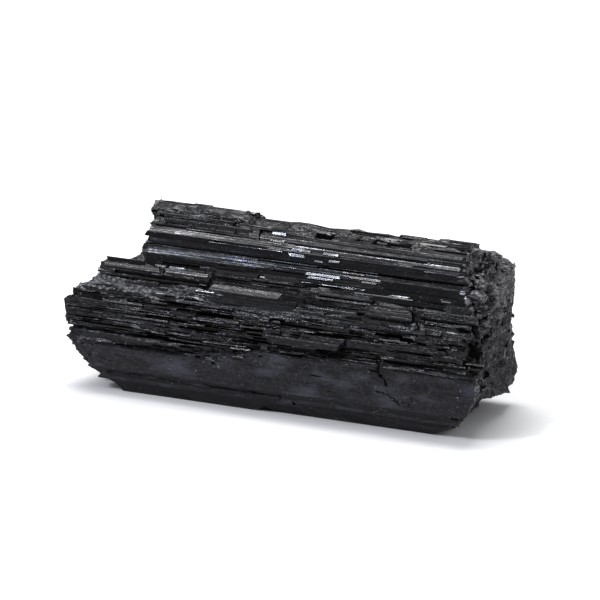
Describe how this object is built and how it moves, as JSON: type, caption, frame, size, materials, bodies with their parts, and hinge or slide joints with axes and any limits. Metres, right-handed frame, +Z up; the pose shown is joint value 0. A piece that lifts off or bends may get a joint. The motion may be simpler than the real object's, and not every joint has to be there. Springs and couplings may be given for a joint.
{
  "type": "tourmaline crystal",
  "caption": "Rough black tourmaline: a natural bundle of parallel striated columns, broken at both ends, lying on a flat side.",
  "frame": {"origin": "middle of the flat side it lies on, at the bottom of the bounding box", "axes": "+X along the columns, +Z up from the flat side, -Y to the broad front plate"},
  "size_m": [0.097, 0.032, 0.038],
  "materials": {
    "schorl": "glossy black striated crystal faces, with rough sugary breaks"
  },
  "bodies": {
    "root": {"tourmaline_crystal": "schorl"}
  },
  "joints": []
}
